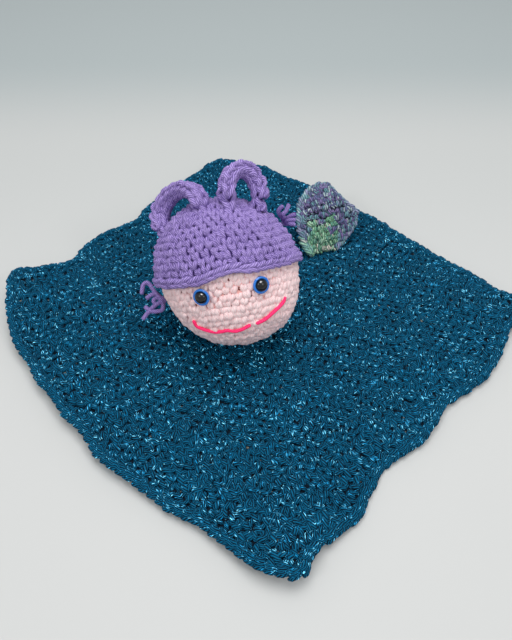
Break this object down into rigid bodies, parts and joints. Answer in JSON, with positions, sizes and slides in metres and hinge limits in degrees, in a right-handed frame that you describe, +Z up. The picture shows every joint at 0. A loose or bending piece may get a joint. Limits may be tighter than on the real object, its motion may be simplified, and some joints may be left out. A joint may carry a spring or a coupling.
{
  "type": "comfort blanket",
  "caption": "Crocheted comfort blanket: a flat square of thick yarn with a stuffed bear head in a looped cap sewn to its middle, and a small ribbed shell flap beside it.",
  "frame": {"origin": "the point of the table under the middle of the blanket", "axes": "+Z up, -Y the way the face looks, +X to the right of someone who faces the toy"},
  "size_m": [0.3932, 0.3778, 0.1193],
  "materials": {
    "cloth_yarn": "glitter yarn",
    "face_yarn": "matte yarn",
    "cap_yarn": "matte yarn",
    "shell_yarn": "variegated yarn",
    "smile_yarn": "matte yarn",
    "filling": "fibre",
    "eye_plastic": "gloss",
    "ring_plastic": "gloss",
    "washer_plastic": "satin"
  },
  "bodies": {
    "blanket": {"blanket": "cloth_yarn", "blanket_edging": "cloth_yarn"},
    "neck": {"neck_seam": "face_yarn"},
    "head": {"head_cover": "face_yarn", "head_stuffing": "filling", "left_eye": "eye_plastic", "right_eye": "eye_plastic", "left_eye_ring": "ring_plastic", "right_eye_ring": "ring_plastic", "left_eye_washer": "washer_plastic", "right_eye_washer": "washer_plastic", "mouth_stitch_left": "smile_yarn", "mouth_stitch_right": "smile_yarn", "cap": "cap_yarn", "cap_brim": "cap_yarn"},
    "left_loop": {"left_loop": "cap_yarn"},
    "right_loop": {"right_loop": "cap_yarn"},
    "left_tassel": {"left_tassel": "cap_yarn"},
    "right_tassel": {"right_tassel": "cap_yarn"},
    "flap": {"shell_flap": "shell_yarn"}
  },
  "joints": [
    {"name": "head_turn", "type": "hinge", "parent": "blanket", "child": "neck", "pos_m": [-0.01517, -0.02091, 0.0057], "axis": [0, 0, 1], "range_deg": [-25, 25], "stiffness_Nm_per_rad": 0.12},
    {"name": "head_nod", "type": "hinge", "parent": "neck", "child": "head", "pos_m": [-0.01517, -0.02091, 0.0528], "axis": [1, 0, 0], "range_deg": [-12, 12], "stiffness_Nm_per_rad": 0.3},
    {"name": "left_loop_flex", "type": "hinge", "parent": "head", "child": "left_loop", "pos_m": [-0.0493, -0.00514, 0.09029], "axis": [-0.7271, 0.054, -0.6845], "range_deg": [-15, 15], "stiffness_Nm_per_rad": 0.05},
    {"name": "right_loop_flex", "type": "hinge", "parent": "head", "child": "right_loop", "pos_m": [-0.0055, -0.00111, 0.10294], "axis": [0.8562, 0.4023, -0.3241], "range_deg": [-15, 15], "stiffness_Nm_per_rad": 0.05},
    {"name": "left_tassel_swing", "type": "hinge", "parent": "head", "child": "left_tassel", "pos_m": [-0.0626, -0.03127, 0.03674], "axis": [-0.9275, -0.2025, -0.3141], "range_deg": [-18, 18], "stiffness_Nm_per_rad": 0.003},
    {"name": "right_tassel_swing", "type": "hinge", "parent": "head", "child": "right_tassel", "pos_m": [0.02287, 0.01533, 0.06676], "axis": [0.6998, 0.6666, 0.2567], "range_deg": [-18, 18], "stiffness_Nm_per_rad": 0.003},
    {"name": "flap_lift", "type": "hinge", "parent": "blanket", "child": "flap", "pos_m": [0.05801, 0.04998, 0.00693], "axis": [0.9397, 0.342, 0], "range_deg": [0, 60]}
  ]
}
